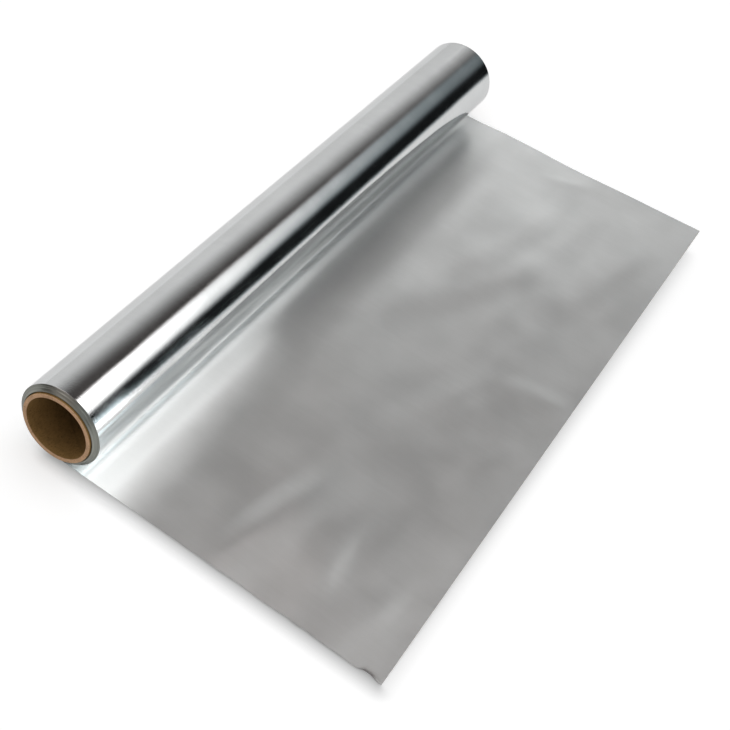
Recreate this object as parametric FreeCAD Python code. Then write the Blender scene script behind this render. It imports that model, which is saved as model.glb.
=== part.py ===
import FreeCAD, Part
import math
import os

# Household roll of aluminium foil, in millimetres.
# The roll lies along Y on its own foil, which leaves it at the bottom and runs
# out along +X. Z is up. The origin is on the roll's axis, at the middle of its
# core, so the surface that it rests on is one roll radius below.

# Core tube
core_bore = 25.4
core_wall = 1.6
core_stick_out = 2.6

# Winding of foil round the core
foil_width = 300.0
winding_thickness = 2.4
winding_clearance = 0.1
inner_turns = 0.5
inner_turns_stick_out = 1.8

# Foil that is pulled off the roll, longer on the near side
sheet_length_near = 139.5
sheet_length_far = 136.0
sheet_thickness = 0.25
flat_by_roll = 12.0

# Heights of the pulled-out sheet above the surface that it lies on
far_corner_lift = 14.0
far_side_bulge = 2.4
ridge_height = 0.9
ridge_spacing = 66.0
ridge_turn = 27.0

# Points that the sheet's surface passes through, each way
points_out = 15
points_along = 25

# Worked out from the sizes above
core_radius = core_bore / 2 + core_wall
core_length = foil_width + 2 * core_stick_out
winding_inner = core_radius + winding_clearance
roll_radius = winding_inner + winding_thickness
half_width = foil_width / 2
surface_level = -roll_radius


def on_section(x, height):
    """A point of the roll's section at the near side, by its height over the surface."""
    return FreeCAD.Vector(x, -half_width, surface_level + height)


def round_bar(radius, length):
    """A round bar on the roll's axis, as far to each side of the middle."""
    start = FreeCAD.Vector(0, -length / 2, 0)
    return Part.makeCylinder(radius, length, start, FreeCAD.Vector(0, 1, 0))


def core_tube():
    """Wound board tube: a plain pipe, cut square at both ends."""
    return round_bar(core_radius, core_length).cut(round_bar(core_bore / 2, core_length))


def roll_section():
    """Round section whose last turn runs off flat along the surface below it.

    The arc starts at the lowest point of the roll, where the underside of the
    sheet is its tangent, and goes all the way round to the sheet's upper side.
    """
    meets_sheet = math.sqrt(roll_radius ** 2 - (roll_radius - sheet_thickness) ** 2)
    lowest = on_section(0, 0)
    top = on_section(0, 2 * roll_radius)
    wedge = on_section(meets_sheet, sheet_thickness)
    upper_end = on_section(flat_by_roll, sheet_thickness)
    lower_end = on_section(flat_by_roll, 0)
    turn = Part.Arc(lowest, top, wedge).toShape()
    tail = Part.makePolygon([wedge, upper_end, lower_end, lowest])
    return Part.Face(Part.Wire([turn] + tail.Edges))


def stepped_end(side):
    """Cone at one end of the winding, where the inner turns stand further out.

    side is -1 at the near end and 1 at the far end.
    """
    start = FreeCAD.Vector(0, side * half_width, 0)
    outwards = FreeCAD.Vector(0, side, 0)
    tip_radius = winding_inner + inner_turns
    return Part.makeCone(roll_radius, tip_radius, inner_turns_stick_out, start, outwards)


def winding():
    """All the turns of foil as one solid, with the flat start of the sheet."""
    turns = roll_section().extrude(FreeCAD.Vector(0, foil_width, 0))
    turns = turns.fuse([stepped_end(-1), stepped_end(1)])
    return turns.cut(round_bar(winding_inner, core_length)).removeSplitter()


def smooth_step(share):
    """Goes from 0 to 1, level at both ends, as share goes from 0 to 1."""
    share = min(max(share, 0.0), 1.0)
    return share * share * (3 - 2 * share)


def sheet_height(x, y, out, along):
    """Height of the sheet's underside over the surface at x, y.

    out goes from 0 by the roll to 1 at the free edge, along goes from 0 at the
    near side to 1 at the far side. The far corner lifts and the far side
    bulges. Low ridges cross the sheet at a turn to the roll, level by the roll
    and at the free edge.
    """
    lift = far_corner_lift * along * out ** 2
    bulge = far_side_bulge * along * 4 * out * (1 - out)
    turn = math.radians(ridge_turn)
    across = x * math.cos(turn) + y * math.sin(turn)
    wave = 0.5 - 0.5 * math.cos(2 * math.pi * across / ridge_spacing)
    ridges = ridge_height * wave * 4 * out * (1 - out)
    return smooth_step(4 * out) * (lift + bulge + ridges)


def sheet():
    """Pulled-out foil from where it stops being flat to its straight free edge."""
    grid = []
    for row in range(points_out):
        out = row / (points_out - 1)
        line = []
        for column in range(points_along):
            along = column / (points_along - 1)
            length = sheet_length_near + (sheet_length_far - sheet_length_near) * along
            x = flat_by_roll + (length - flat_by_roll) * out
            y = -half_width + foil_width * along
            z = surface_level + sheet_height(x, y, out, along)
            line.append(FreeCAD.Vector(x, y, z))
        grid.append(line)
    underside = Part.BSplineSurface()
    underside.interpolate(grid)
    return underside.toShape().extrude(FreeCAD.Vector(0, 0, sheet_thickness))


def foil():
    """The winding and the pulled-out sheet, which are one length of foil."""
    return winding().fuse(sheet())


def main():
    """Writes each piece to its own file."""
    os.makedirs("parts", exist_ok=True)
    pieces = {"core_tube": core_tube(), "foil": foil()}
    for name, shape in pieces.items():
        solid = shape.Solids[0]
        if len(shape.Solids) != 1 or not solid.isValid():
            raise ValueError(name + " is not one sound solid")
        solid.exportStep("parts/" + name + ".step")


main()
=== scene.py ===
import math

import bpy
import numpy as np
from mathutils import Matrix, Vector


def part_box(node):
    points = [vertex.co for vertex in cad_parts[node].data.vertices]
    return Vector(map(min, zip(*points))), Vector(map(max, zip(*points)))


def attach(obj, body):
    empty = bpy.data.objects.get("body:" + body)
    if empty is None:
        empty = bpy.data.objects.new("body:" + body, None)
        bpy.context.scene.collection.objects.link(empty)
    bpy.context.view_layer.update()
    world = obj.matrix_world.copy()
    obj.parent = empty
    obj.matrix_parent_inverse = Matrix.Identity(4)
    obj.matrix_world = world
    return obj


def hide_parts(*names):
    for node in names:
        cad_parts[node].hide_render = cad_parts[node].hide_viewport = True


bl_info = {
    "name": "Household foil roll",
    "version": (1, 0, 0),
    "blender": (4, 5, 0),
    "location": "View3D > Sidebar > Foil Roll",
    "description": "Builds a roll of aluminium foil on a board core, with one sheet pulled off",
    "category": "Object",
}

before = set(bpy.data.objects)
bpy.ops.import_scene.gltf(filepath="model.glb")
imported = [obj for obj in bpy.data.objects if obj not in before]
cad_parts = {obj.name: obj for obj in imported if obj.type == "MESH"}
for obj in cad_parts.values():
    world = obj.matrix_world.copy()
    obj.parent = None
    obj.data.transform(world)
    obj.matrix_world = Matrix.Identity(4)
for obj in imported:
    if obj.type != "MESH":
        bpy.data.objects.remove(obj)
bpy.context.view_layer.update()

MM = 0.001
ROLL_RADIUS = -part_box("foil")[0].z
SURFACE_LEVEL = -ROLL_RADIUS
CORE_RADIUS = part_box("core_tube")[1].z
CORE_HALF_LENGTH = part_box("core_tube")[1].y
WINDING_HALF_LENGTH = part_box("foil")[1].y
SHEET_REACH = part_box("foil")[1].x

WHITE = (1.0, 1.0, 1.0, 1.0)
BLACK = (0.0, 0.0, 0.0, 1.0)


# Properties

class FoilRollCore(bpy.types.PropertyGroup):
    """Sizes and colours of the board core."""

    wall: bpy.props.FloatProperty(
        name="Wall", description="Thickness of the board tube",
        default=1.6 * MM, unit="LENGTH")
    edge_radius: bpy.props.FloatProperty(
        name="Edge radius", description="Rounding of the tube's cut edges",
        default=0.3 * MM, unit="LENGTH")
    ply: bpy.props.FloatProperty(
        name="Ply", description="Thickness of one layer of board",
        default=0.4 * MM, unit="LENGTH")
    strip_pitch: bpy.props.FloatProperty(
        name="Strip pitch", description="Travel of the wound strip along the tube in one turn",
        default=62.0 * MM, unit="LENGTH")
    board_colour: bpy.props.FloatVectorProperty(
        name="Board", description="Colour of the board's face",
        default=(0.29, 0.17, 0.06, 1.0), size=4, subtype="COLOR")
    # Painted shade: the colour that the bore darkens to deep inside, where little light reaches.
    painted_bore_shade_colour: bpy.props.FloatVectorProperty(
        name="Deep board", description="Colour of the board deep inside the bore",
        default=(0.030, 0.0115, 0.0005, 1.0), size=4, subtype="COLOR")
    cut_colour: bpy.props.FloatVectorProperty(
        name="Cut edge", description="Colour of the board where it is cut",
        default=(0.64, 0.40, 0.24, 1.0), size=4, subtype="COLOR")


class FoilRollWinding(bpy.types.PropertyGroup):
    """Sizes and colours of the turns of foil on the roll."""

    clearance: bpy.props.FloatProperty(
        name="Clearance", description="Space between the core and the first turn",
        default=0.1 * MM, unit="LENGTH")
    stick_out: bpy.props.FloatProperty(
        name="Inner turns stick out", description="How far the inner turns stand out at the ends",
        default=1.8 * MM, unit="LENGTH")
    inner_turns: bpy.props.FloatProperty(
        name="Inner turns", description="Thickness of the turns that stand out in full",
        default=0.5 * MM, unit="LENGTH")
    unevenness: bpy.props.FloatProperty(
        name="Unevenness", description="Height of the broad waves in the outer turn",
        default=0.03 * MM, unit="LENGTH")
    bright_colour: bpy.props.FloatVectorProperty(
        name="Bright side", description="Colour of the foil's bright side",
        default=(0.62, 0.63, 0.63, 1.0), size=4, subtype="COLOR")
    edge_colour: bpy.props.FloatVectorProperty(
        name="Foil edges", description="Colour of the many foil edges at the ends",
        default=(0.23, 0.235, 0.21, 1.0), size=4, subtype="COLOR")


class FoilRollSheet(bpy.types.PropertyGroup):
    """Sizes and colours of the foil that is pulled off the roll."""

    width: bpy.props.FloatProperty(
        name="Width", description="Width of the foil", default=300.0 * MM, unit="LENGTH")
    far_length: bpy.props.FloatProperty(
        name="Far length", description="Length of the sheet on its shorter, far side",
        default=136.0 * MM, unit="LENGTH")
    thickness: bpy.props.FloatProperty(
        name="Thickness", description="Thickness of the foil as modelled",
        default=0.06 * MM, unit="LENGTH")
    corner_lift: bpy.props.FloatProperty(
        name="Corner lift", description="Height of the far free corner",
        default=14.0 * MM, unit="LENGTH")
    side_bulge: bpy.props.FloatProperty(
        name="Side bulge", description="Height of the far side's bulge",
        default=2.4 * MM, unit="LENGTH")
    ridge_height: bpy.props.FloatProperty(
        name="Ridge height", description="Height of the low ridges across the sheet",
        default=0.5 * MM, unit="LENGTH")
    ridge_spacing: bpy.props.FloatProperty(
        name="Ridge spacing", description="Distance from one low ridge to the next",
        default=66.0 * MM, unit="LENGTH")
    large_facets: bpy.props.FloatProperty(
        name="Large facets", description="Half the height of the large facets",
        default=0.16 * MM, unit="LENGTH")
    small_facets: bpy.props.FloatProperty(
        name="Small facets", description="Half the height of the small facets",
        default=0.08 * MM, unit="LENGTH")
    bend_slope: bpy.props.FloatProperty(
        name="Bend by the roll", description="Steepest slope of the foil by the roll",
        default=0.238)
    matte_colour: bpy.props.FloatVectorProperty(
        name="Matte side", description="Colour of the foil's matte side",
        default=(0.70, 0.715, 0.71, 1.0), size=4, subtype="COLOR")


class FoilRollStage(bpy.types.PropertyGroup):
    """The camera, the floor and the studio round the roll."""

    camera_place: bpy.props.FloatVectorProperty(
        name="Camera place", description="Where the camera stands",
        default=(0.1654, -0.4514, 0.4145), size=3, subtype="TRANSLATION")
    camera_aim: bpy.props.FloatVectorProperty(
        name="Camera aim", description="The point in the middle of the picture",
        default=(0.0598, -0.0287, -0.0168), size=3, subtype="TRANSLATION")
    camera_roll: bpy.props.FloatProperty(
        name="Camera roll", description="Turn of the camera about its own line of sight",
        default=math.radians(23.64), subtype="ANGLE")
    lens: bpy.props.FloatProperty(
        name="Lens", description="Focal length on a 36 mm sensor, in millimetres", default=75.95)
    floor_size: bpy.props.FloatProperty(
        name="Floor size", description="Radius of the round floor", default=6.0, unit="LENGTH")
    floor_glow: bpy.props.FloatProperty(
        name="Floor glow", description="Share of the floor's white that shadows don't reach",
        default=0.50, subtype="FACTOR")
    soft_light: bpy.props.FloatProperty(
        name="Soft light", description="Strength of the even light from all round", default=0.5)
    wall_ahead: bpy.props.FloatProperty(
        name="Wall ahead", description="Brightness of the low wall straight ahead", default=4.6)
    panel_left: bpy.props.FloatProperty(
        name="Panel to the left", description="Brightness of the panel to the left", default=4.4)
    panel_right: bpy.props.FloatProperty(
        name="Panel to the right", description="Brightness of the panel to the right", default=6.5)
    panel_overhead: bpy.props.FloatProperty(
        name="Panel overhead", description="Most brightness of the panel overhead", default=3.0)
    high_left: bpy.props.FloatProperty(
        name="High, left", description="Brightness high up to the left", default=0.7)
    high_right: bpy.props.FloatProperty(
        name="High, right", description="Brightness high up to the right", default=0.05)
    lamp_power: bpy.props.FloatProperty(
        name="Lamp power", description="Power of the lamp overhead, in watts", default=4.0)
    lamp_place: bpy.props.FloatVectorProperty(
        name="Lamp place", description="Where the lamp hangs",
        default=(-0.15, 0.1, 1.3), size=3, subtype="TRANSLATION")


# Surfaces

def soft_noise(u, v, seed):
    """Smooth random heights at u, v, one bump a unit or so, within -1 to 1.

    Each whole-number corner has its own random height. A point takes a share of
    the four round it, by how near it is, eased so that the surface has no kinks.
    """
    heights = np.random.default_rng(seed).uniform(-1.0, 1.0, (64, 64))
    column, row = np.floor(u).astype(int), np.floor(v).astype(int)
    a, b = u - column, v - row
    a, b = a * a * a * (a * (6 * a - 15) + 10), b * b * b * (b * (6 * b - 15) + 10)
    left, right = column % 64, (column + 1) % 64
    low, high = row % 64, (row + 1) % 64
    below = heights[low, left] * (1 - a) + heights[low, right] * a
    above = heights[high, left] * (1 - a) + heights[high, right] * a
    return below * (1 - b) + above * b


def ease(share):
    """0 below 0, 1 above 1, and a smooth step between."""
    share = np.clip(share, 0.0, 1.0)
    return share * share * (3 - 2 * share)


def facing_out(points, quads):
    """The quads, turned round if the closed surface has its inside out.

    The signed volume is the sum, over all triangles, of the triple product of
    their corners over six. It is negative where the faces point inwards.
    """
    a, b, c, d = (points[quads[:, i]] for i in range(4))
    volume = (np.cross(a, b) * c).sum() + (np.cross(a, c) * d).sum()
    return quads if volume > 0 else quads[:, ::-1]


def make_piece(name, points, quads, uv, masks, sharp):
    """A smooth mesh object from points, quads, a UV pair per point and named point values.

    An edge is sharp where both of its points are marked sharp.
    """
    quads = facing_out(points, quads)
    mesh = bpy.data.meshes.new(name)
    mesh.from_pydata(points.tolist(), [], quads.tolist())
    mesh.polygons.foreach_set("use_smooth", np.ones(len(quads), dtype=bool))
    layer = mesh.uv_layers.new(name="along_foil")
    corners = np.zeros(len(mesh.loops), dtype=np.int64)
    mesh.loops.foreach_get("vertex_index", corners)
    layer.data.foreach_set("uv", uv.reshape(-1, 2)[corners].astype(np.float32).ravel())
    for label, values in masks.items():
        attribute = mesh.attributes.new(label, "FLOAT", "POINT")
        attribute.data.foreach_set("value", values.astype(np.float32).ravel())
    ends = np.zeros(2 * len(mesh.edges), dtype=np.int64)
    mesh.edges.foreach_get("vertices", ends)
    creased = mesh.attributes.new("sharp_edge", "BOOLEAN", "EDGE")
    creased.data.foreach_set("value", sharp[ends.reshape(-1, 2)].all(axis=1))
    mesh.update()
    return placed(name, mesh)


def placed(name, data):
    """A new object at the scene's origin, for a mesh, a camera or a lamp."""
    made = bpy.data.objects.new(name, data)
    bpy.context.scene.collection.objects.link(made)
    return made


def ring_quads(rows, columns):
    """Quads of a grid that closes on itself both ways, like a ring's skin."""
    i, j = np.meshgrid(np.arange(rows), np.arange(columns), indexing="ij")
    k, m = (i + 1) % rows, (j + 1) % columns
    corners = [i * columns + j, k * columns + j, k * columns + m, i * columns + m]
    return np.stack(corners, axis=-1).reshape(-1, 4)


def ring_angles(turns):
    """Even angles round the roll, which start at its lowest point."""
    return -math.pi / 2 + 2 * math.pi * np.arange(turns) / turns


def turned_ring(radius, y, angle):
    """Points of a closed profile carried round the roll's axis, which is Y.

    Each point is at radius times (cosine, sine) of its angle in X and Z. Radius
    and y are arrays of profile points by angles.
    """
    points = [radius * np.cos(angle), y, radius * np.sin(angle)]
    return np.stack(points, axis=-1).reshape(-1, 3)


# Shader wiring

class Wiring:
    """Adds nodes to one tree and joins them by short calls."""

    def __init__(self, tree):
        self.tree = tree
        tree.nodes.clear()

    def node(self, kind, inputs=(), **settings):
        """One node with its settings, and its inputs set or wired by name or number."""
        made = self.tree.nodes.new(kind)
        for key, value in settings.items():
            setattr(made, key, value)
        for key, value in dict(inputs).items():
            self.put(value, made.inputs[key])
        return made

    def put(self, value, socket):
        """Wires an output to the socket, or sets the socket to a plain value."""
        if isinstance(value, bpy.types.NodeSocket):
            self.tree.links.new(value, socket)
        else:
            socket.default_value = value

    def math(self, operation, first, second=0.0, third=0.0, clamp=False):
        made = self.node("ShaderNodeMath", {0: first, 1: second, 2: third},
                         operation=operation, use_clamp=clamp)
        return made.outputs[0]

    def product(self, first, *others):
        """All the numbers multiplied."""
        for other in others:
            first = self.math("MULTIPLY", first, other)
        return first

    def past(self, value, limit):
        """How far value is past limit, or 0."""
        return self.math("MAXIMUM", self.math("SUBTRACT", value, limit), 0.0)

    def distance(self, first, second):
        """Square root of the sum of two squares."""
        squares = [self.math("POWER", value, 2.0) for value in (first, second)]
        return self.math("SQRT", self.math("ADD", *squares))

    def ramp(self, value, start, end, low=0.0, high=1.0, kind="LINEAR"):
        """Straight line of value from low at start to high at end, and level past both."""
        inputs = {"Value": value, "From Min": start, "From Max": end, "To Min": low, "To Max": high}
        return self.node("ShaderNodeMapRange", inputs, interpolation_type=kind).outputs[0]

    def step(self, value, start, end, low=0.0, high=1.0):
        """Smooth step of value from low at start to high at end."""
        return self.ramp(value, start, end, low, high, "SMOOTHSTEP")

    def blend(self, share, first, second):
        """Mix of two numbers."""
        return self.node("ShaderNodeMix", {0: share, 2: first, 3: second},
                         data_type="FLOAT").outputs[0]

    def tint(self, share, first, second):
        """Mix of two colours."""
        return self.node("ShaderNodeMix", {0: share, 6: first, 7: second},
                         data_type="RGBA").outputs[2]

    def vector(self, operation, first, second=(0.0, 0.0, 0.0)):
        """Sum, product or unit length of vectors or colours."""
        return self.node("ShaderNodeVectorMath", {0: first, 1: second},
                         operation=operation).outputs[0]

    def split(self, vector):
        """The X, Y and Z of a vector."""
        return self.node("ShaderNodeSeparateXYZ", {0: vector}).outputs

    def noise(self, vector, scale, detail=2.0, roughness=0.5):
        inputs = {"Vector": vector, "Scale": scale, "Detail": detail, "Roughness": roughness}
        return self.node("ShaderNodeTexNoise", inputs).outputs["Fac"]

    def stretched(self, vector, scale):
        """The vector with each axis scaled by its own factor."""
        return self.node("ShaderNodeMapping", {"Vector": vector, "Scale": scale}).outputs[0]

    def bump(self, height, strength, distance, **normal):
        inputs = {"Height": height, "Strength": strength, "Distance": distance, **normal}
        return self.node("ShaderNodeBump", inputs).outputs[0]

    def group(self, tree, inputs):
        return self.node("ShaderNodeGroup", inputs, node_tree=tree).outputs


def shader_group(name, inputs, outputs, fill):
    """A shader group with named number or vector inputs and named number outputs.

    An input's value is its default, or None for a vector. fill makes the nodes,
    from the wiring and the inputs, and gives a value for each output.
    """
    tree = bpy.data.node_groups.get(name)
    if tree:
        return tree
    tree = bpy.data.node_groups.new(name, "ShaderNodeTree")
    for label, value in inputs.items():
        kind = "NodeSocketVector" if value is None else "NodeSocketFloat"
        socket = tree.interface.new_socket(label, in_out="INPUT", socket_type=kind)
        if value is not None:
            socket.default_value = value
    for label in outputs:
        tree.interface.new_socket(label, in_out="OUTPUT", socket_type="NodeSocketFloat")
    wires = Wiring(tree)
    values = fill(wires, wires.node("NodeGroupInput").outputs)
    wires.node("NodeGroupOutput", dict(zip(outputs, values)))
    return tree


def rolled_grain(wires, source):
    """Marks that the rolling mill leaves in foil, for both of its sides.

    Streaks run along the foil, which is the first coordinate. Grain is fine
    and even. Blotches are broad, faint changes in how dull the foil is. The
    noise scales are bumps per metre.
    """
    place = source["Along Foil"]
    fine = wires.noise(wires.stretched(place, (60.0, 2600.0, 1.0)), 1.0, 3.0, 0.6)
    broad = wires.noise(wires.stretched(place, (8.0, 420.0, 1.0)), 1.0, 2.0, 0.6)
    grain = wires.noise(place, 1500.0, 2.0, 0.6)
    blotches = wires.noise(place, 42.0, 3.0, 0.55)
    streaks = wires.math("MULTIPLY_ADD", fine, 0.6, wires.product(broad, 0.4))
    height = wires.math("MULTIPLY_ADD", streaks, source["Streaks"],
                        wires.product(grain, source["Grain"]))
    dulling = wires.math("MULTIPLY_ADD", blotches, 0.6, wires.product(streaks, 0.4))
    return height, dulling


def rolled_grain_group():
    return shader_group("rolled_grain", {"Along Foil": None, "Streaks": 1.0, "Grain": 1.0},
                        ["Height", "Dulling"], rolled_grain)


def paper_fibre(wires, source):
    """Fibres and flecks of brown board: how light a spot is, and how high."""
    place = source["Place"]
    scale = wires.math("DIVIDE", 1.0, source["Fibre Size"])
    fibres = wires.noise(wires.stretched(place, (1.0, 0.35, 1.0)), scale, 4.0, 0.65)
    clouds = wires.noise(place, wires.product(scale, 0.09), 3.0, 0.6)
    flecks = wires.step(wires.noise(place, wires.product(scale, 0.6), 1.0), 0.62, 0.74)
    light = wires.math("MULTIPLY_ADD", fibres, 0.55, wires.product(clouds, 0.45))
    light = wires.math("MULTIPLY_ADD", flecks, -0.25, light)
    return light, wires.math("MULTIPLY_ADD", flecks, 0.2, fibres)


def paper_fibre_group():
    return shader_group("paper_fibre", {"Place": None, "Fibre Size": 0.6 * MM},
                        ["Lightness", "Height"], paper_fibre)


def new_material(name):
    material = bpy.data.materials.new(name)
    material.use_nodes = True
    return material, Wiring(material.node_tree)


def finish_surface(wires, shader):
    wires.node("ShaderNodeOutputMaterial", {"Surface": shader.outputs[0]})


def along_foil(wires):
    """Place on the foil: metres along its length, metres across its width."""
    return wires.node("ShaderNodeUVMap", uv_map="along_foil").outputs[0]


def point_value(wires, name):
    """A value stored on the mesh's points."""
    return wires.node("ShaderNodeAttribute", attribute_name=name).outputs["Fac"]


# Materials

# Noise gathers round a half. These parts of its range are spread over a whole step.
MIDDLE = (0.30, 0.70)
MOST = (0.25, 0.75)

# Height of the marks in foil and of the fibres in board, for their bumps.
FOIL_MARKS = 0.04 * MM
BOARD_FIBRES = 0.12 * MM


def metal(wires, colour, rough, grazing, normal):
    """Metal that mirrors its colour, and at a grazing angle that share of white."""
    return wires.node("ShaderNodeBsdfPrincipled", {
        "Base Color": colour, "Metallic": 1.0, "Roughness": rough,
        "Specular Tint": (grazing, grazing, grazing, 1.0), "Normal": normal})


def bright_foil_material(settings):
    """Mirror-bright side of the foil, and the dull stack of foil edges at the ends."""
    material, wires = new_material("bright_foil")
    edges = point_value(wires, "foil_edges")
    grain = wires.group(rolled_grain_group(), {
        "Along Foil": along_foil(wires), "Streaks": 0.7, "Grain": 2.2})
    tone = wires.step(grain["Dulling"], *MIDDLE, 0.94, 1.04)
    bright = wires.tint(edges, tuple(settings.bright_colour), tuple(settings.edge_colour))
    # The stack of edges is lined: noise that changes only from layer to layer.
    layer = wires.node("ShaderNodeCombineXYZ", {0: point_value(wires, "foil_layer")}).outputs[0]
    lines = wires.noise(wires.stretched(layer, (900.0, 1.0, 1.0)), 1.0, 3.0, 0.7)
    lined = wires.step(lines, *MIDDLE, 0.68, 1.2)
    colour = wires.vector("MULTIPLY", bright, wires.product(tone, wires.blend(edges, 1.0, lined)))
    rough = wires.blend(edges, wires.step(grain["Dulling"], *MOST, 0.07, 0.14), 0.34)
    bump = wires.bump(wires.blend(edges, grain["Height"], lines), 0.25, FOIL_MARKS)
    finish_surface(wires, metal(wires, colour, rough, 0.78, bump))
    return material


def bend_by_roll(wires, out, across, by_roll):
    """Slope of the foil that still bends down where it leaves the roll, from 0 to 1.

    It starts 9 to 14 mm out. In the near half it is full up to 24 mm out, and falls
    to nothing at 53 to 62 mm. In the far half it falls in two steps.
    """
    near_half = wires.step(across, -55 * MM, -5 * MM, 1.0, 0.0)
    near_end = wires.step(across, -150 * MM, -105 * MM, 62 * MM, 53 * MM)
    near = wires.math("POWER", wires.ramp(out, 24 * MM, near_end, 1.0, 0.0), 1.2)
    far = wires.math("MULTIPLY_ADD", wires.step(out, 24 * MM, 17 * MM), 0.60,
                     wires.step(out, 48 * MM, 34 * MM, 0.0, 0.42))
    start = wires.step(out, 9 * MM, 14 * MM)
    return wires.product(wires.blend(near_half, far, near), by_roll, start)


def painted_gap_reflection(wires, out, across, by_roll):
    """Painted reflection: a darker tone on the far half of the bend, standing for the dark gap by
    the roll that the foil would mirror.
    """
    painted_gap = wires.product(wires.step(across, -90 * MM, 30 * MM), by_roll,
                        wires.step(out, 44 * MM, 26 * MM),
                        wires.step(out, 16 * MM, 25 * MM, 0.35, 1.0))
    darkening = 0.38
    return wires.math("MULTIPLY_ADD", painted_gap, -darkening, 1.0)


def leaning_normal(wires, slope):
    """The surface's own normal, which leans towards +X by the slope where it points up."""
    straight = wires.node("ShaderNodeTexCoord").outputs["Normal"]
    lean = wires.node("ShaderNodeCombineXYZ", {0: wires.product(slope, wires.split(straight)[2])})
    leaning = wires.vector("ADD", straight, lean.outputs[0])
    leaning = wires.node("ShaderNodeVectorTransform", {0: leaning}, vector_type="NORMAL",
                         convert_from="OBJECT", convert_to="WORLD").outputs[0]
    return wires.vector("NORMALIZE", leaning)


def matte_foil_material(settings, bright_colour):
    """Pulled-out foil: matte above, bright below, with a painted reflection of the dark gap on the
    bend's far half.
    """
    material, wires = new_material("matte_foil")
    place = along_foil(wires)
    upper = point_value(wires, "matte_side")
    grain = wires.group(rolled_grain_group(), {"Along Foil": place, "Streaks": 1.0, "Grain": 0.6})
    side = wires.tint(upper, tuple(bright_colour), tuple(settings.matte_colour))
    # The bend ends towards the far side on a slanting line, where the far corner lifts.
    out, across, _ = wires.split(place)
    slant, true_at = 1.46, 41 * MM
    slanting = wires.math("MULTIPLY_ADD", wires.math("SUBTRACT", out, true_at), slant, across)
    by_roll = wires.step(slanting, 80 * MM, 135 * MM, 1.0, 0.0)
    slope = wires.product(bend_by_roll(wires, out, across, by_roll), settings.bend_slope)
    # The tone is random dulling times the painted reflection of the dark gap on the bend's far half.
    tone = wires.product(wires.step(grain["Dulling"], *MIDDLE, 0.95, 1.04),
                         painted_gap_reflection(wires, out, across, by_roll))
    colour = wires.vector("MULTIPLY", side, tone)
    bump = wires.bump(grain["Height"], 0.2, FOIL_MARKS, Normal=leaning_normal(wires, slope))
    # The matte side scatters in two ways: a narrow shine, and a wide sheen off its fine
    # grain. The bright side scatters both alike.
    bright_roughness = 0.12
    sheen_share = 0.33
    shine, sheen = (metal(wires, colour, wires.blend(
        upper, bright_roughness, wires.step(grain["Dulling"], *MOST, least, most)), 0.85, bump)
        for least, most in ((0.20, 0.25), (0.51, 0.59)))
    finish_surface(wires, wires.node("ShaderNodeMixShader", {
        0: sheen_share, 1: shine.outputs[0], 2: sheen.outputs[0]}))
    return material


def brown_board_material(settings):
    """Brown wound board with darker strip seams, a lighter cut edge that shows its plies, and
    painted shade deep in the bore.
    """
    material, wires = new_material("brown_board")
    place = wires.node("ShaderNodeTexCoord").outputs["Object"]
    fibre = wires.group(paper_fibre_group(), {"Place": place, "Fibre Size": 0.5 * MM})
    cut = point_value(wires, "cut_edge")
    # Each ply is darker at its borders, where the count of plies is a whole number.
    in_ply = wires.math("SUBTRACT", wires.math("FRACT", point_value(wires, "ply")), 0.5)
    lines = wires.step(wires.math("ABSOLUTE", in_ply), 0.30, 0.5, 1.0, 0.78)
    # Painted shade: the bore's colour darkens inwards to a deep brown, standing for the little light
    # that reaches in there.
    bore_shade_share = wires.step(point_value(wires, "depth"), 3 * MM, 34 * MM)
    face = wires.tint(bore_shade_share, tuple(settings.board_colour), tuple(settings.painted_bore_shade_colour))
    board = wires.tint(cut, face, tuple(settings.cut_colour))
    tone = wires.step(fibre["Lightness"], 0.25, 0.65, 0.72, 1.22)
    strip = wires.math("ABSOLUTE", point_value(wires, "strip_seam"))
    seam = wires.step(strip, 0.0, 0.018, 0.8, 1.0)
    colour = wires.vector("MULTIPLY", board, wires.product(tone, wires.blend(cut, seam, lines)))
    shader = wires.node("ShaderNodeBsdfPrincipled", {
        "Base Color": colour, "Roughness": 0.85, "Specular IOR Level": 0.12,
        "Normal": wires.bump(fibre["Height"], 0.6, BOARD_FIBRES)})
    finish_surface(wires, shader)
    return material


# Operators

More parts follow.
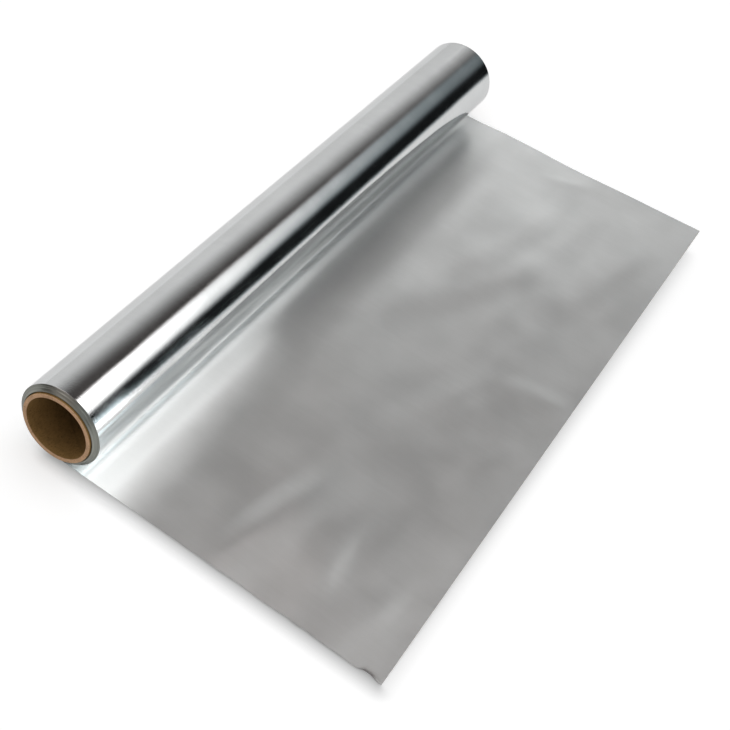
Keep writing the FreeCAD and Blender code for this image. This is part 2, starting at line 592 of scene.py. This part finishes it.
class FOILROLL_OT_core_tube(bpy.types.Operator):
    """Build the board core: a wound tube with rounded, slightly uneven cut edges"""

    bl_idname = "foilroll.core_tube"
    bl_label = "Build core tube"

    def execute(self, context):
        settings = context.scene.foil_roll_core
        inner = CORE_RADIUS - settings.wall
        edge = settings.edge_radius
        end = CORE_HALF_LENGTH - edge
        quarter = np.linspace(0.0, math.pi / 2, 5)
        run = np.linspace(-1.0, 1.0, 90) * end
        # Closed profile: along the outside, round an edge, in over the cut, and back
        # along the bore. Each corner is a quarter circle of the edge's radius.
        across = np.linspace(CORE_RADIUS - edge, inner + edge, 8)[1:-1]
        cut_line = np.full(len(across), CORE_HALF_LENGTH)
        radius = np.concatenate([
            np.full(len(run), CORE_RADIUS), CORE_RADIUS - edge + edge * np.cos(quarter[1:]), across,
            inner + edge - edge * np.sin(quarter), np.full(len(run) - 2, inner),
            inner + edge - edge * np.cos(quarter), across[::-1],
            CORE_RADIUS - edge + edge * np.sin(quarter[:-1])])
        along = np.concatenate([
            run, end + edge * np.sin(quarter[1:]), cut_line,
            end + edge * np.cos(quarter), run[::-1][1:-1],
            -end - edge * np.sin(quarter), -cut_line,
            -end - edge * np.cos(quarter[:-1])])
        turns = 224
        angle = ring_angles(turns)
        # The cut wanders a little: a slow wave round the ring, only near the two ends. It
        # is level where the angles start and stop, at the bottom.
        most = 0.07 * MM
        near_end = ease((np.abs(along) - end) / edge)[:, None]
        wander = most * (soft_noise(angle * 1.1 + 40, np.zeros_like(angle), 5)
                         + 0.5 * soft_noise(angle * 4.0 + 90, np.zeros_like(angle), 6))
        round_share = np.arange(turns) / turns
        wander = np.abs(wander * ease(5 * round_share) * ease(5 * (1 - round_share)))
        y = along[:, None] - np.sign(along)[:, None] * near_end * wander
        cut = ease((np.abs(along) - end) / (0.5 * edge))[:, None] * np.ones(turns)
        # Signed distance to the seam of the wound strip, as a share of its pitch.
        helix = (y / settings.strip_pitch + angle / (2 * math.pi)) % 1.0 - 0.5
        ply = (CORE_RADIUS - radius)[:, None] / settings.ply * np.ones(turns)
        # How deep inside the bore a point lies, for the bore's painted shade: 0 outside and at the
        # two ends.
        in_bore = (radius < inner + 0.01 * MM)[:, None]
        depth = np.where(in_bore, CORE_HALF_LENGTH - np.abs(y), 0.0)
        points = turned_ring(radius[:, None], y, angle)
        piece = make_piece("core_board_tube", points, ring_quads(len(radius), turns),
                           np.stack([radius[:, None] * angle, y], axis=-1),
                           {"cut_edge": cut, "strip_seam": helix, "ply": ply, "depth": depth},
                           np.zeros(len(points), dtype=bool))
        piece.data.materials.append(brown_board_material(settings))
        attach(piece, "root")
        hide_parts("core_tube")
        return {"FINISHED"}


class FOILROLL_OT_winding(bpy.types.Operator):
    """Build the turns of foil on the roll, with their stepped ends"""

    bl_idname = "foilroll.winding"
    bl_label = "Build winding"

    def execute(self, context):
        settings = context.scene.foil_roll_winding
        half_width = WINDING_HALF_LENGTH - settings.stick_out
        inner = CORE_RADIUS + settings.clearance
        end_radius, end_reach = self.stepped_end(settings, inner)
        run = np.linspace(-half_width, half_width, 150)
        bore = np.linspace(half_width, -half_width, 24)
        radius = np.concatenate([np.full(len(run), ROLL_RADIUS), end_radius,
                                 np.full(len(bore), inner), end_radius[::-1]])
        along = np.concatenate([run, half_width + end_reach, bore, -half_width - end_reach[::-1]])
        turns = 256
        angle = ring_angles(turns)
        # The outer turn waves a little: broad noise along the roll and round it, which
        # fades out at the bottom, where the sheet leaves.
        outer = radius == ROLL_RADIUS
        round_fade = ease((1 - np.abs(np.abs(angle + math.pi / 2) / math.pi - 1)) * 5)
        broad = soft_noise(along[:, None] / (34 * MM) + 20, angle[None, :] * 1.6 + 8, 21)
        small = soft_noise(along[:, None] / (11 * MM) + 40, angle[None, :] * 4.0 + 8, 22)
        waves = settings.unevenness * (broad + 0.3 * small) * round_fade - settings.unevenness
        radius_grid = radius[:, None] + np.where(outer[:, None], waves * round_fade, 0.0)
        ends = ease((np.abs(along) - half_width) / (0.1 * MM))[:, None] * np.ones(turns)
        ends[radius == inner] = 1.0
        # The foil's edges move in and out a little at the ends.
        most = 0.08 * MM
        layer = (ROLL_RADIUS - radius)[:, None] * np.ones(turns)
        wobble = most * soft_noise(angle[None, :] * 2.0 + 12, layer / (0.5 * MM), 23)
        y = along[:, None] + np.sign(along)[:, None] * np.where(ends > 0.5, wobble * round_fade, 0.0)
        y = np.clip(y, -WINDING_HALF_LENGTH, WINDING_HALF_LENGTH)
        rim = outer & (np.abs(along) >= half_width)
        piece = make_piece("foil_winding", turned_ring(radius_grid, y, angle),
                           ring_quads(len(radius), turns),
                           np.stack([np.broadcast_to(ROLL_RADIUS * angle, y.shape), y], axis=-1),
                           {"foil_edges": ends, "foil_layer": layer}, np.repeat(rim, turns))
        piece.data.materials.append(bright_foil_material(settings))
        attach(piece, "root")
        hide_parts("foil")
        return {"FINISHED"}

    def stepped_end(self, settings, inner):
        """Radius of one end's points, and how far each stands out beyond the outer turn.

        The end is a stack of small groups of turns, each a little further out than the
        one outside it. A group has two points: its outer corner, and one a third of its
        way in that is most of the way out to the next group. The last points round the
        turns that stand out in full.
        """
        groups = 13
        steps = np.random.default_rng(11).uniform(0.4, 1.6, groups)
        reach = np.concatenate([[0.0], np.cumsum(steps)]) / steps.sum() * settings.stick_out
        tip = inner + settings.inner_turns
        lip = 0.1 * MM
        radii = np.linspace(ROLL_RADIUS, tip, groups + 1)
        radius = np.stack([radii[:-1], radii[:-1] - 0.3 * (radii[0] - radii[1])], axis=1)
        out = np.stack([reach[:-1], 0.25 * reach[:-1] + 0.75 * reach[1:]], axis=1)
        radius = np.concatenate([radius.ravel(), [tip, tip - lip, inner + lip]])
        out = np.concatenate([out.ravel(), [reach[-1], reach[-1], reach[-1] - lip / 2]])
        # The first point is the outer turn's own end.
        return radius[1:], out[1:]


class FOILROLL_OT_sheet(bpy.types.Operator):
    """Build the foil that is pulled off the roll, with its soft ridges and creases"""

    bl_idname = "foilroll.sheet"
    bl_label = "Build pulled-out sheet"

    def execute(self, context):
        settings = context.scene.foil_roll_sheet
        rows, columns = 170, 270
        out, along = np.meshgrid(np.linspace(0, 1, rows), np.linspace(0, 1, columns), indexing="ij")
        length = SHEET_REACH + (settings.far_length - SHEET_REACH) * along
        x, y = length * out, settings.width * (along - 0.5)
        height = sheet_height(settings, x, y, out, along)
        # The near side is a little ragged towards the free corner. Just before the
        # corner it is drawn in at a small nick, which shows the bright side.
        most_ragged, nick_depth = 0.6 * MM, 0.8 * MM
        from_near = y + settings.width / 2
        ragged = 0.5 * soft_noise(x / (4 * MM) + 30, x * 0 + 3, 41) + 0.5
        ragged = ragged * ease((x - 55 * MM) / (30 * MM)) * ease(1 - from_near / (5 * MM))
        from_nick = x - (SHEET_REACH - 6 * MM)
        nick = np.exp(-(from_nick / (3.2 * MM)) ** 4 - (from_near / (1.6 * MM)) ** 2)
        y = y + most_ragged * ragged + nick_depth * nick
        low = np.stack([x, y, SURFACE_LEVEL + height], axis=-1).reshape(-1, 3)
        high = low + np.array([0.0, 0.0, settings.thickness])
        matte = np.concatenate([1.0 - nick.ravel(), np.zeros(nick.size)])
        rim = np.pad(np.zeros((rows - 2, columns - 2), dtype=bool), 1, constant_values=True)
        piece = make_piece("foil_sheet", np.concatenate([high, low]), shell_quads(rows, columns),
                           np.tile(low[:, :2], (2, 1)), {"matte_side": matte},
                           np.tile(rim.ravel(), 2))
        bright = context.scene.foil_roll_winding.bright_colour
        piece.data.materials.append(matte_foil_material(settings, bright))
        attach(piece, "root")
        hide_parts("foil")
        return {"FINISHED"}


def shell_quads(rows, columns):
    """Quads of a thin closed shell: an upper grid, a lower grid and their borders."""
    i, j = np.meshgrid(np.arange(rows - 1), np.arange(columns - 1), indexing="ij")
    a = (i * columns + j).ravel()
    upper = np.stack([a, a + columns, a + columns + 1, a + 1], axis=-1)
    shift = rows * columns
    lower = upper[:, ::-1] + shift
    loop = np.concatenate([np.arange(columns), np.arange(1, rows) * columns + columns - 1,
                           (rows - 1) * columns + np.arange(columns - 2, -1, -1),
                           np.arange(rows - 2, 0, -1) * columns])
    after = np.roll(loop, -1)
    border = np.stack([loop, after, after + shift, loop + shift], axis=-1)
    return np.concatenate([upper, lower, border])


def fold(x, y, start, end, rise, drop):
    """A soft fold along the line from start to end, 1 high along its crest.

    It eases up to the crest over the distance rise on the line's left, and down
    behind it over drop. Towards both ends of the line it fades out.
    """
    line = np.array(end) - np.array(start)
    reach = math.hypot(*line)
    share = ((x - start[0]) * line[0] + (y - start[1]) * line[1]) / reach ** 2
    beside = ((x - start[0]) * line[1] - (y - start[1]) * line[0]) / reach
    slope = np.where(beside < 0, 1 + beside / rise, 1 - beside / drop)
    return ease(slope) * ease(3 * share) * ease(3 * (1 - share))


# Folds that show in the sheet: height, start, end, rise and drop, all in millimetres.
FOLDS = (
    (1.15, (65, -172), (82, -80), 12, 18),
    (0.24, (100, -190), (98, -70), 15, 10),
    (0.12, (111, -180), (128, -98), 14, 8),
    (0.22, (104, 0), (142, 6), 9, 12),
    (0.42, (44, -8), (94, 90), 26, 15),
    (0.28, (84, -78), (106, -8), 20, 9),
    (0.22, (90, -44), (104, 6), 12, 6),
    (0.30, (60, 40), (78, 122), 18, 13),
    (0.06, (58, 132), (84, 143), 4, 7),
    (0.35, (104, 40), (122, 128), 22, 12),
    (0.18, (116, -52), (140, -18), 9, 7),
)


def facets(x, y, size, seed):
    """Flat facets about size wide with soft creases between them, from 0 to 2 high.

    Random heights on a slanted, stretched grid, joined by straight slopes and
    then averaged over a small neighbourhood, which softens the creases.
    """
    heights = np.random.default_rng(seed).uniform(-1.0, 1.0, (64, 64))
    total = 0.0
    for shift_x, shift_y in ((-1, -1), (-1, 1), (1, -1), (1, 1), (0, 0)):
        u = (x + 0.55 * y + shift_x * MM) / size + 20
        v = (0.75 * y - 0.45 * x + shift_y * MM) / (1.3 * size) + 20
        column, row = np.floor(u).astype(int), np.floor(v).astype(int)
        a, b = u - column, v - row
        # Each cell is two triangles, so that each facet is flat.
        low, high = heights[row, column], heights[row + 1, column + 1]
        side_a, side_b = heights[row, column + 1], heights[row + 1, column]
        first = low + (side_a - low) * a + (high - side_a) * b
        second = low + (high - side_b) * a + (side_b - low) * b
        total = total + np.where(a > b, first, second)
    return total / 5 + 1.0


def sheet_height(settings, x, y, out, along):
    """Height of the sheet over the surface that it lies on.

    out goes from 0 at the roll to 1 at the free edge, along from 0 at the near
    side to 1 at the far side. The far corner lifts with along times out squared,
    and the far side bulges with along times out times one minus out. Low ridges
    are cosine waves across their own direction, and level at the roll and at the
    free edge. The folds and facets lie on top, and end before the roll.
    """
    arch = 4 * out * (1 - out)
    lift = settings.corner_lift * along * out ** 2
    bulge = settings.side_bulge * along * arch
    turn = math.radians(27.0)
    across = x * math.cos(turn) + y * math.sin(turn)
    wave = 0.5 - 0.5 * np.cos(2 * math.pi * across / settings.ridge_spacing)
    ridges = settings.ridge_height * wave * arch
    folds = sum(height * MM * fold(x / MM, y / MM, start, end, rise, drop)
                for height, start, end, rise, drop in FOLDS)
    crumple = settings.large_facets * facets(x, y, 30 * MM, 31)
    crumple = crumple + settings.small_facets * facets(x, y, 11 * MM, 32)
    crumple = (crumple + folds) * ease((x - 36 * MM) / (16 * MM))
    # The near side lies flatter than the rest.
    flatter = 0.6 + 0.4 * ease((y + settings.width / 2) / (30 * MM))
    return ease(4 * out) * (lift + bulge + ridges * flatter) + crumple * flatter


# Parts of the studio, in degrees: the borders of each in azimuth and in elevation, as
# pairs of angles where it starts and where it is full.
WALL_AHEAD = (((-27.0, -20.0),), ((27.0, 18.0),))
PANEL_RIGHT = (((53.5, 57.0), (85.0, 68.0)), ((54.0, 42.0),))
PANEL_LEFT = (((-62.0, -74.0), (-160.0, -145.0)), ((82.0, 72.0), (32.0, 50.0)))


class FOILROLL_OT_stage(bpy.types.Operator):
    """Build the camera, the floor, the lamp and the studio that the foil mirrors"""

    bl_idname = "foilroll.stage"
    bl_label = "Build stage"

    def execute(self, context):
        settings = context.scene.foil_roll_stage
        context.scene.view_settings.view_transform = "Standard"
        self.camera(context, settings)
        self.floor(settings)
        self.lamp(settings)
        self.studio(context, settings)
        return {"FINISHED"}

    def camera(self, context, settings):
        data = bpy.data.cameras.new("camera")
        data.lens = settings.lens
        data.sensor_width = 36.0
        camera = placed("camera", data)
        place = Vector(settings.camera_place)
        sight = (Vector(settings.camera_aim) - place).normalized()
        level = sight.to_track_quat("-Z", "Y").to_matrix()
        turn = Matrix.Rotation(settings.camera_roll, 3, "Z")
        camera.matrix_world = Matrix.Translation(place) @ (level @ turn).to_4x4()
        context.scene.camera = camera

    def floor(self, settings):
        """A round disc just under the foil, its corners at radius times cosine and sine."""
        sides = 96
        angle = np.linspace(0, 2 * math.pi, sides, endpoint=False)
        x, y = settings.floor_size * np.cos(angle), settings.floor_size * np.sin(angle)
        rim = np.stack([x, y, np.full(sides, SURFACE_LEVEL - 0.1 * MM)], axis=-1)
        mesh = bpy.data.meshes.new("floor")
        mesh.from_pydata(rim.tolist(), [], [list(range(sides))])
        floor = placed("floor", mesh)
        material, wires = new_material("floor")
        # Painted shadow: the floor's white and its glow darken beside the foil's edges.
        painted_shadow = self.painted_shadow_by_foil(wires)
        rays = wires.node("ShaderNodeLightPath").outputs
        seen = wires.math("ADD", rays["Is Camera Ray"], rays["Is Glossy Ray"])
        seen = wires.math("ADD", seen, rays["Is Transmission Ray"], clamp=True)
        glow = wires.product(seen, settings.floor_glow, painted_shadow)
        white_share = 0.8
        white = wires.node("ShaderNodeCombineColor", {0: painted_shadow, 1: painted_shadow, 2: painted_shadow}).outputs[0]
        plain = wires.node("ShaderNodeBsdfDiffuse", {"Color": wires.tint(white_share, BLACK, white)})
        glowing = wires.node("ShaderNodeEmission", {"Color": WHITE, "Strength": glow})
        both = wires.node("ShaderNodeAddShader", {0: plain.outputs[0], 1: glowing.outputs[0]})
        finish_surface(wires, both)
        mesh.materials.append(material)

    def painted_shadow_by_foil(self, wires):
        """Painted soft shadow on the floor beside the foil's edges, most by its near side.

        It is 1 less a depth times a power of the share of its reach that is left.
        Distances are from the roll's lowest line, the far side, and lines a little
        inside the near side and the free edge.
        """
        near_side = -148.8 * MM
        far_side = 150 * MM
        edge_inset, edge_slant = 1.5 * MM, 0.018
        reach, fading = 9 * MM, 1.3
        by_edge, by_near_side, past_far_side = 0.26, 0.62, 0.3
        x, y, _ = wires.split(wires.node("ShaderNodeTexCoord").outputs["Object"])
        free_edge = wires.math("MULTIPLY_ADD", wires.math("ADD", y, far_side), -edge_slant,
                               SHEET_REACH - edge_inset)
        past_near = wires.past(near_side, y)
        past_far = wires.past(y, far_side)
        away = wires.distance(wires.math("ADD", wires.past(x, free_edge), wires.past(0.0, x)),
                              wires.math("ADD", past_near, past_far))
        away = wires.math("MAXIMUM", away, 0.01 * MM)
        depth = wires.step(wires.math("DIVIDE", past_near, away), 0.0, 1.0, by_edge, by_near_side)
        depth = wires.product(depth, wires.step(past_far, 0.0, 2 * MM, 1.0, past_far_side))
        painted_shadow = wires.math("POWER", wires.ramp(away, 0.0, reach, 1.0, 0.0), fading)
        return wires.math("SUBTRACT", 1.0, wires.product(painted_shadow, depth))

    def lamp(self, settings):
        width = 1.4
        data = bpy.data.lights.new("overhead_lamp", "AREA")
        data.shape = "DISK"
        data.size = width
        data.energy = settings.lamp_power
        lamp = placed("overhead_lamp", data)
        lamp.location = settings.lamp_place
        lamp.rotation_euler = (-lamp.location).to_track_quat("-Z", "Y").to_euler()
        lamp.visible_glossy = False

    def studio(self, context, settings):
        """White for the camera, an even soft light, and panels that only the metal mirrors.

        Directions are an elevation over the horizon and an azimuth from +Y towards
        +X, both in degrees.
        """
        world = bpy.data.worlds.new("studio")
        world.use_nodes = True
        context.scene.world = world
        wires = Wiring(world.node_tree)
        x, y, z = wires.split(wires.node("ShaderNodeTexCoord").outputs["Generated"])
        degrees = 180.0 / math.pi
        elevation = wires.product(wires.math("ARCSINE", z), degrees)
        azimuth = wires.product(wires.math("ARCTAN2", x, y), degrees)
        wall, warm = self.left_half(wires, azimuth, elevation, settings)
        light, cool = self.right_half(wires, azimuth, elevation, settings)
        on_right = wires.step(azimuth, -1.0, 11.0)
        panels = wires.blend(on_right, wall, light)
        # Higher up, out of the roll's sight, it is even: lighter to the left.
        high = wires.step(azimuth, -25.0, 5.0, settings.high_left, settings.high_right)
        panels = wires.blend(wires.step(elevation, 55.0, 65.0), panels, high)
        light_behind = 0.5
        behind = wires.step(wires.math("ABSOLUTE", azimuth), 125.0, 150.0)
        panels = wires.blend(behind, panels, light_behind)
        # The largest panel hangs to the left, from halfway up to nearly overhead.
        left = self.patch(wires, azimuth, elevation, PANEL_LEFT)
        panels = wires.blend(left, panels, settings.panel_left)
        rays = wires.node("ShaderNodeLightPath").outputs
        mirrored = wires.math("ADD", rays["Is Glossy Ray"], rays["Is Transmission Ray"], clamp=True)
        strength = wires.blend(mirrored, settings.soft_light, panels)
        strength = wires.blend(rays["Is Camera Ray"], strength, 1.0)
        colour = wires.tint(mirrored, WHITE, wires.tint(on_right, warm, cool))
        back = wires.node("ShaderNodeBackground", {"Color": colour, "Strength": strength})
        wires.node("ShaderNodeOutputWorld", {"Surface": back.outputs[0]})

    def patch(self, wires, azimuth, elevation, borders):
        """1 inside a part of the studio with soft borders, and 0 outside it."""
        sides, heights = borders
        steps = [wires.step(azimuth, start, full) for start, full in sides]
        steps += [wires.step(elevation, start, full) for start, full in heights]
        return wires.product(*steps)

    def left_half(self, wires, azimuth, elevation, settings):
        """Brightness and tint of the white walls to the left, which darken upwards.

        The brightness is a step in the distance from a point on the horizon, which
        grows faster to the right. Straight ahead the walls are brighter, low down.
        Higher up they are a little warmer.
        """
        point, growth_left, growth_right = -28.0, 0.7, 0.92
        brightest, darkest = 0.87, 0.075
        beside = wires.math("SUBTRACT", azimuth, point)
        beside = wires.product(beside, wires.blend(
            wires.math("GREATER_THAN", beside, 0.0), growth_left, growth_right))
        distance = wires.distance(elevation, beside)
        wall = wires.step(distance, 22.0, 54.0, brightest, darkest)
        wall = wires.blend(self.patch(wires, azimuth, elevation, WALL_AHEAD), wall,
                           settings.wall_ahead)
        return wall, wires.tint(wires.step(distance, 40.0, 56.0), WHITE, (1.0, 0.91, 0.89, 1.0))

    def right_half(self, wires, azimuth, elevation, settings):
        """Brightness and tint of the light to the right, which is cooler lower down.

        A large soft light overhead brightens upwards and to the right, by an
        exponential of the rise, over a dark gap. A bright panel stands to the right,
        out of the roll's direct sight.
        """
        gap_light, horizon_light = 0.01, 0.9
        widest, plain_rise, growth = 50.0, 50.0, 0.13
        side = wires.math("MINIMUM", azimuth, widest)
        rise = wires.math("MULTIPLY_ADD", side, 0.4, elevation)
        over = wires.math("SUBTRACT", rise, plain_rise)
        light = wires.math("EXPONENT", wires.product(over, growth))
        light = wires.math("MINIMUM", light, settings.panel_overhead)
        over_gap = wires.step(wires.math("MULTIPLY_ADD", side, -0.5, elevation), 3.0, 18.0)
        light = wires.blend(over_gap, gap_light, light)
        gap_foot = wires.step(azimuth, 44.0, 56.0, 0.0, 9.0)
        over_horizon = wires.step(wires.math("SUBTRACT", elevation, gap_foot), -0.5, 6.0)
        light = wires.blend(over_horizon, horizon_light, light)
        light = wires.blend(self.patch(wires, azimuth, elevation, PANEL_RIGHT), light,
                            settings.panel_right)
        cool = wires.product(wires.step(rise, 52.0, 38.0), over_horizon)
        return light, wires.tint(cool, WHITE, (0.80, 0.94, 1.0, 1.0))


class FOILROLL_PT_panel(bpy.types.Panel):
    """Lists the steps that build the roll"""

    bl_idname = "FOILROLL_PT_panel"
    bl_label = "Foil Roll"
    bl_space_type = "VIEW_3D"
    bl_region_type = "UI"
    bl_category = "Foil Roll"

    def draw(self, context):
        for step, group in zip(OPERATORS, GROUPS):
            settings = getattr(context.scene, group)
            box = self.layout.box()
            box.operator(step.bl_idname)
            for name in settings.bl_rna.properties.keys():
                if name not in {"rna_type", "name"}:
                    box.prop(settings, name)


GROUPS = {"foil_roll_core": FoilRollCore, "foil_roll_winding": FoilRollWinding,
          "foil_roll_sheet": FoilRollSheet, "foil_roll_stage": FoilRollStage}
OPERATORS = (FOILROLL_OT_core_tube, FOILROLL_OT_winding, FOILROLL_OT_sheet, FOILROLL_OT_stage)
CLASSES = (*GROUPS.values(), *OPERATORS, FOILROLL_PT_panel)


def register():
    for item in CLASSES:
        bpy.utils.register_class(item)
    for name, group in GROUPS.items():
        setattr(bpy.types.Scene, name, bpy.props.PointerProperty(type=group))


def unregister():
    for name in GROUPS:
        delattr(bpy.types.Scene, name)
    for item in reversed(CLASSES):
        bpy.utils.unregister_class(item)


def main():
    """Builds everything in order."""
    register()
    bpy.ops.foilroll.stage()
    bpy.ops.foilroll.core_tube()
    bpy.ops.foilroll.winding()
    bpy.ops.foilroll.sheet()


if __name__ == "__main__":
    main()
